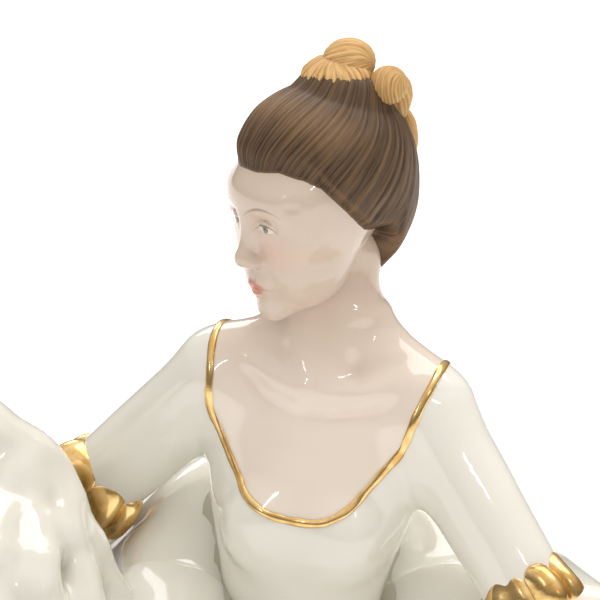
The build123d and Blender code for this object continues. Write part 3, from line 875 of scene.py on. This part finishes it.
def cuffPiece(name, node, arm, roll):
    start, end = Vector(arm[0]), Vector(arm[1])
    place = Matrix.Translation(end) @ leaning((end - start).normalized())

    def form(u, v):
        turn = 2 * math.pi * u
        lobe = np.abs(np.cos((turn + roll + 0.25 * np.sin(turn * 2)) * cuffs["lobes"] / 2)) ** 0.6
        bulb = 0.5 + 0.5 * np.cos(turn * 3 + cuffs["bulb"] + roll)  # every other lobe is blown up
        outside, down = wallPath(v, cuffs["brim"])
        tilt = np.where(down > 0.5, down, -0.9 * (1 - down))
        height = (down - cuffs["brim"]) * cuffs["length"]
        height = height + cuffs["ruffle"] * (lobe - 0.55) * tilt * (1.15 - 0.5 * bulb)
        swell = cuffs["bulge"] * np.sin(math.pi * np.clip(down, 0, 1)) ** 0.6
        flare = cuffs["flare"] * down**2 * (0.3 + 0.8 * lobe)
        outer = cuffs["radius"] + 0.15 + swell * (0.2 + 1.15 * lobe * bulb) + flare
        radius = np.where(outside, outer, cuffs["radius"] - cuffs["wall"] + flare * 0.9)
        ways = np.stack([np.cos(turn), np.sin(turn), 0 * turn], axis=1)
        points = moved(place, ways * radius[:, None] + np.outer(height, (0, 0, 1)))
        uneven = np.where(outside, 0.22 * ripples(points, 5.0, 11), 0)
        return points + uneven[:, None] * moved(place.to_3x3().to_4x4(), ways)

    piece = sheet(name, 220, 60, form)
    finishPiece(piece, burnishedGold, "burnished_gold", node, sharp=60)


cuffPiece("rightCuffPiece", "right_cuff", figure["rightArm"], 0.3)
cuffPiece("leftCuffPiece", "left_cuff", figure["leftArm"], 0.9)
print("cuffs ruffled")

# Forearms and hands
hands = {
    "fingers": [(-2.4, 4.6), (-0.85, 5.6), (0.8, 5.4), (2.3, 4.4)],  # across, length
    "fingerRadius": 0.95,
    "armGrain": 0.35,
    "grain": 0.26,
}
here = (0, 0, 0)
rightHandPlace = placed((-45.6, 9.6, 102.6), (0, 0, 235)) @ placed(here, (0, -38, 0))
rightHandPlace = rightHandPlace @ placed(here, (20, 0, 0))
leftHandPlace = placed((45.0, -17.2, 86.2), (0, 0, -14)) @ placed(here, (0, 16, 0))
arms = {  # elbow, wrist, hand, how far its fingers curl
    "right": ((-30.8, 12.0, 96.6), (-46.0, 10.0, 102.0), rightHandPlace, 3.2),
    "left": ((27.2, -12.0, 87.5), (46.0, -17.5, 86.0), leftHandPlace, 2.0),
}


def handClay(place, curl):
    clay = [ball((3.2, 0, 0), (4.6, 3.1, 1.6), blend=1.6), ball((5.2, 0.2, 0.1), (2.6, 3.1, 1.3), blend=1.6)]
    r = hands["fingerRadius"]
    for across, length in hands["fingers"]:
        knuckles = [(5.2, across * 0.9, 0.2), (6.6 + 0.4 * length, across * 1.08, 0.1 - 0.25 * curl),
                    (6.4 + 0.8 * length, across * 1.12, -0.7 * curl),
                    (6.2 + length, across * 1.12, -1.15 * curl)]
        clay.append(limb(knuckles, [r, r * 0.95, r * 0.88, r * 0.7], 0.7))
    thumb = [(1.4, -2.0, -0.4), (4.0, -4.0, -0.9), (6.6, -4.6, -1.7)]
    return setIn(place, clay + [limb(thumb, [1.4, 1.05, 0.8], 1.2)])


for name, (elbow, wrist, place, curl) in arms.items():
    elbow, wrist = Vector(elbow), Vector(wrist)
    arm = limb([tuple(elbow), tuple(elbow.lerp(wrist, 0.45)), tuple(wrist)], [3.7, 3.5, 2.2])
    armPiece = sculpt(name + "ForearmPiece", [arm], hands["armGrain"])
    noteRecess(armPiece, 20, 0.6)
    finishPiece(armPiece, fleshGlaze, "flesh_glaze", name + "_forearm")
    heel = limb([tuple(wrist.lerp(elbow, 0.12)), tuple(wrist)], [2.25, 2.1])
    handPiece = sculpt(name + "HandPiece", [heel] + handClay(place, curl), hands["grain"])
    noteRecess(handPiece, 16, 0.4)
    finishPiece(handPiece, fleshGlaze, "flesh_glaze", name + "_hand")
print("hands modelled")


# Skirt
skirt = {
    "halfWidth": 96.0,
    "halfDepth": 76.0,
    # Each curve: share of the reach, height
    "front": [(0.075, 77), (0.15, 79), (0.26, 75), (0.42, 66),
             (0.58, 52), (0.74, 36), (0.88, 18), (0.975, 1.5)],
    "back": [(0.075, 79), (0.12, 97), (0.25, 103), (0.44, 95),
             (0.64, 77), (0.80, 50), (0.91, 24), (0.975, 1.5)],
    "side": [(0.075, 77), (0.12, 87), (0.22, 90), (0.38, 76),
             (0.58, 57), (0.76, 38), (0.88, 19), (0.975, 1.5)],
    "folds": 20,
    "depth": 3.2,
    "wall": 2.6,
    "lift": (-2.39, 0.24, 11.0),  # direction, spread, height
    "brim": 0.72,  # share of the section that is the outside
    "gilt": (0.715, 0.012),  # where the gilt line runs, how wide
}


def skirtForm(u, v):
    turn = 2 * math.pi * u
    outside, down = wallPath(v, skirt["brim"])
    span = np.array((0.5 * (skirt["halfWidth"] + skirt["halfDepth"]), 1))
    steps = np.linspace(0, 1, 400)
    back, front = np.clip(np.sin(turn), 0, 1) ** 1.3, np.clip(-np.sin(turn), 0, 1) ** 1.2
    reach = rise = 0
    for key, share in (("back", back), ("front", front), ("side", 1 - back - front)):
        curve = curveThrough(np.array(skirt[key]) * span, steps) / span
        reach = reach + share * np.interp(down, steps, curve[:, 0])
        rise = rise + share * np.interp(down, steps, curve[:, 1])
    warp = turn + 0.10 * np.sin(3 * turn + 0.7) + 0.05 * np.sin(7 * turn + 2.0)
    coarse = np.sqrt(np.cos(warp * skirt["folds"] / 4 + 0.4) ** 2 + 0.03)
    fine = np.sqrt(np.cos(warp * skirt["folds"] / 2 + 0.5 * np.sin(4 * down)) ** 2 + 0.02)
    lower = smoothStep(0.2, 0.75, down)
    ridge = coarse * (1 - lower) + fine * lower
    depth = skirt["depth"] * (0.2 + 0.8 * smoothStep(0.05, 0.9, down))
    push = depth * (ridge - 0.95)
    wall = np.where(outside, 0.0, -skirt["wall"])
    direction, spread, height = skirt["lift"]
    away = (turn - (direction % (2 * math.pi))) / spread
    rise = rise + height * np.exp(-(away**2)) * smoothStep(0.75, 1.0, down)
    rise = rise + 1.4 * (1 - ridge) * smoothStep(0.85, 1.0, down)
    x = (skirt["halfWidth"] * reach + push + wall) * np.cos(turn) + waist[0] * (1 - smoothStep(0, 0.35, down))
    y = (skirt["halfDepth"] * reach + push + wall) * np.sin(turn)
    z = rise + np.where(outside, 0, -0.6 * skirt["wall"] * (1 - down)) + 0.35 * push * (1 - down)
    return np.stack([x, y, z], axis=1)


skirtPiece = sheet("skirtPiece", 440, 150, skirtForm)
points = readPoints(skirtPiece)
writePoints(skirtPiece, points + skinNormals(skirtPiece) * (0.35 * ripples(points, 14.0, 5))[:, None])
print("skirt thrown", len(skirtPiece.data.vertices))
uvs = np.zeros(len(skirtPiece.data.loops) * 2)
skirtPiece.data.uv_layers.active.data.foreach_get("uv", uvs)
corner = np.zeros(len(skirtPiece.data.loops), np.int64)
skirtPiece.data.loops.foreach_get("vertex_index", corner)
down = np.zeros(len(points))
down[corner] = uvs.reshape(-1, 2)[:, 1]
giltAt, giltWide = skirt["gilt"]
keepNumbers(skirtPiece, "gilt", np.exp(-((down - giltAt) / giltWide) ** 2))
noteRecess(skirtPiece, 40, 2.5)
finishPiece(skirtPiece, giltGlaze, "white_glaze", "skirt_shell", "back_billow", sharp=70)


# Petticoat frill under the hem
frill = {"halfWidth": 85.0, "halfDepth": 66.5, "height": 15.5, "wall": 4.0, "pleats": 64, "depth": 2.0}


def frillForm(u, v):
    turn = 2 * math.pi * u
    outside, up = wallPath(v, 0.5)
    pleat = np.sqrt(np.cos(turn * frill["pleats"] / 2 + 0.3 * np.sin(5 * turn)) ** 2 + 0.02)
    push = frill["depth"] * (pleat - 1) * (1.0 - 0.4 * up) - 3.0 * up
    wall = np.where(outside, 0.0, -frill["wall"])
    x = (frill["halfWidth"] + push + wall) * np.cos(turn)
    y = (frill["halfDepth"] + push + wall) * np.sin(turn)
    return np.stack([x, y, frill["height"] * up], axis=1)


frillPiece = sheet("petticoatFrillPiece", 640, 40, frillForm)
noteRecess(frillPiece, 12, 0.8)
finishPiece(frillPiece, whiteGlaze, "white_glaze", "petticoat_frill", sharp=50)
print("petticoat pleated")

# Raised swag: the cloth the right hand holds up, fold by fold from the grip
swag = {
    "ridge": ((-36, -2, 102.5), (-52, -3, 114)),
    "grain": 0.75,
    "sunk": 10,  # how far the feet run down inside the skirt
    "folds": [  # share along the ridge, foot, belly, thickness at ridge, middle and foot
        (0, (-23, 3, 70), (1, -4, -1), (2.4, 4.8, 7)),
        (0.1, (-31, -6, 64), (3, -8, 4), (2, 3.6, 6)),
        (0.25, (-38, -20, 54), (2, -10, 5), (2.2, 4.2, 7)),
        (0.4, (-50, -30, 44), (0, -10, 6), (2.4, 4.8, 8)),
        (0.6, (-64, -30, 34), (-3, -8, 8), (2.6, 5.4, 8.5)),
        (0.8, (-76, -20, 26), (-7, -4, 10), (2.8, 6, 9)),
        (1, (-80, -4, 26), (-9, 0, 12), (2.8, 6, 9)),
        (0.9, (-72, 12, 38), (-7, 4, 12), (2.6, 6, 9)),
        (0.6, (-56, 22, 54), (-3, 5, 9), (2.4, 5.4, 8)),
        (0.2, (-40, 20, 64), (0, 5, 6), (2, 4.6, 7)),
        (0.5, (-54, -2, 58), (-3, 0, 4), (3, 9, 15)),
        (0.35, (-46, -14, 52), (0, -4, 4), (2.4, 7, 13)),
        (0.6, (-60, -16, 44), (-3, -3, 6), (2.4, 8, 14)),
        (0.7, (-66, 8, 38), (-5, 3, 8), (2.6, 7, 12)),
    ],
    "ruffles": [  # centre, radii, turn
        ((-39.5, -4, 93), (2.4, 2.2, 4), (20, 20, 0)), ((-39, -9, 87), (3.2, 2.4, 4.4), (30, -20, 10)),
        ((-35.5, -6, 81), (3, 2.4, 4.6), (10, 25, 20)), ((-36, -12, 76), (3.8, 2.6, 4.8), (20, -30, 0)),
        ((-43.5, -9, 96), (3.4, 2.6, 4.6), (15, 25, 30)), ((-43, -16, 84), (4.2, 3, 5), (20, -25, 10)),
        ((-48, -9, 101), (4, 3, 5), (25, 10, 0)), ((-48, -18, 89), (4.8, 3.2, 5.4), (10, -20, 0)),
    ],
}
swagClay = []
for share, foot, belly, thick in swag["folds"]:
    foot = (*foot[:2], foot[2] - swag["sunk"])
    top = Vector(swag["ridge"][0]).lerp(Vector(swag["ridge"][1]), share)
    middle = top.lerp(Vector(foot), 0.5) + Vector(belly)
    quarter = top.lerp(middle, 0.5) + Vector(belly) * 0.25
    radii = [thick[0], 0.5 * (thick[0] + thick[1]), thick[1], thick[2]]
    swagClay.append(limb([tuple(top), tuple(quarter), tuple(middle), foot], radii, 3.2))
swagClay.append(limb(swag["ridge"], (1.9, 2.6), 1.5))
swagClay += [ball(centre, radii, turn, 2.8) for centre, radii, turn in swag["ruffles"]]


def swagRipples(p):
    return (0.25 + 0.3 * smoothStep(70, 95, p[:, 2])) * ripples(p, 10, 21) + 0.1 * ripples(p, 5, 22)


swagPiece = sculpt("raisedSwagPiece", swagClay, swag["grain"], swagRipples)
noteRecess(swagPiece, 14, 1.2)
finishPiece(swagPiece, whiteGlaze, "white_glaze", "raised_swag", sharp=80)

# Side swag under the left hand
sideSwag = {
    "grip": (47, -17, 81),
    "sunk": 11,
    "grain": 0.85,
    "folds": [  # foot, belly, thickness at grip, middle and foot
        ((50, -38, 44), (3, -4, 4), (3, 5, 6)),
        ((64, -36, 32), (5, -4, 5), (3, 6, 7.5)),
        ((78, -28, 22), (7, -3, 7), (3.4, 6.4, 8)),
        ((82, -12, 24), (8, 0, 8), (3.4, 6.4, 8)),
        ((74, 4, 36), (7, 3, 7), (3.2, 5.6, 7)),
        ((66, -20, 32), (5, -1, 5), (3.4, 8, 13)),
    ],
}
grip = Vector(sideSwag["grip"])
sideClay = []
for foot, belly, thick in sideSwag["folds"]:
    middle = grip.lerp(Vector(foot), 0.5) + Vector(belly)
    foot = (0.96 * foot[0], 0.96 * foot[1], foot[2] - sideSwag["sunk"])
    sideClay.append(limb([tuple(grip), tuple(middle), foot], thick, 2.2))
sideSwagPiece = sculpt("sideSwagPiece", sideClay, sideSwag["grain"], lambda p: 0.35 * ripples(p, 9, 31))
noteRecess(sideSwagPiece, 14, 1.2)
finishPiece(sideSwagPiece, whiteGlaze, "white_glaze", "side_swag", sharp=80)
print("swags draped")

# The foot plate keeps its CAD shape, in unglazed clay
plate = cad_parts["foot_plate"]
plate.data.materials.clear()
plate.data.materials.append(bisque)

# Floor, light and camera
deselectAll()
bpy.ops.mesh.primitive_plane_add(size=8, location=(0, 0, 0))
floor = bpy.context.object
floor.name = "floor"
floorPaint, tree, shader, where = newMaterial("floorPaint")
feed(tree, shader, {"Base Color": (0.9, 0.9, 0.9, 1), "Roughness": 0.8,
                    "Emission Color": (1, 1, 1, 1), "Emission Strength": 0.22})
floor.data.materials.append(floorPaint)

studio = {  # place, what it looks at, width, height, power
    "keyStrip": ((-0.72, -0.8, 0.6), (0, 0, 0.12), 0.03, 0.22, 0.45),
    "fillStrip": ((0.5, -1.0, 0.75), (0, 0, 0.12), 0.2, 0.03, 0.5),
    "topBox": ((0.25, 0.2, 1.15), (0, 0, 0.1), 0.9, 0.9, 7.0),
    "rimBox": ((-0.3, 0.8, 0.7), (0, 0, 0.12), 0.4, 0.4, 1.4),
}
for name, (spot, aim, wide, high, power) in studio.items():
    light = bpy.data.lights.new(name, "AREA")
    light.shape = "RECTANGLE"
    light.size, light.size_y = wide, high
    light.energy = power
    lamp = bpy.data.objects.new(name, light)
    lamp.location = spot
    lamp.rotation_euler = (Vector(aim) - Vector(spot)).to_track_quat("-Z", "Y").to_euler()
    bpy.context.scene.collection.objects.link(lamp)
world = bpy.data.worlds.new("studioAir")
world.use_nodes = True
air = world.node_tree
skyward = air.nodes.new("ShaderNodeSeparateXYZ")
feed(air, skyward, {"Vector": air.nodes.new("ShaderNodeTexCoord").outputs["Generated"]})
brighter = ranged(air, skyward.outputs["Z"], 0.0, 1.0, 0.1, 1.3)
feed(air, air.nodes["Background"], {"Strength": brighter, "Color": (1.0, 0.965, 0.92, 1)})
bpy.context.scene.world = world

view = {"aim": (-3.9, 0.0, 125.05), "rise": 15.0, "away": 1300.0, "width": 77.9, "sensor": 36}
rise = math.radians(view["rise"])
spot = Vector(view["aim"]) + Vector((0, -math.cos(rise), math.sin(rise))) * view["away"]
lens = bpy.data.cameras.new("portrait")
lens.sensor_width = view["sensor"]
lens.lens = view["sensor"] * view["away"] / view["width"]
lens.clip_end = 20
camera = bpy.data.objects.new("portrait", lens)
camera.location = spot * metre
camera.rotation_euler = (Vector(view["aim"]) - spot).to_track_quat("-Z", "Y").to_euler()
bpy.context.scene.collection.objects.link(camera)
bpy.context.scene.camera = camera
bpy.context.scene.view_settings.view_transform = "Standard"
print("studio lit")
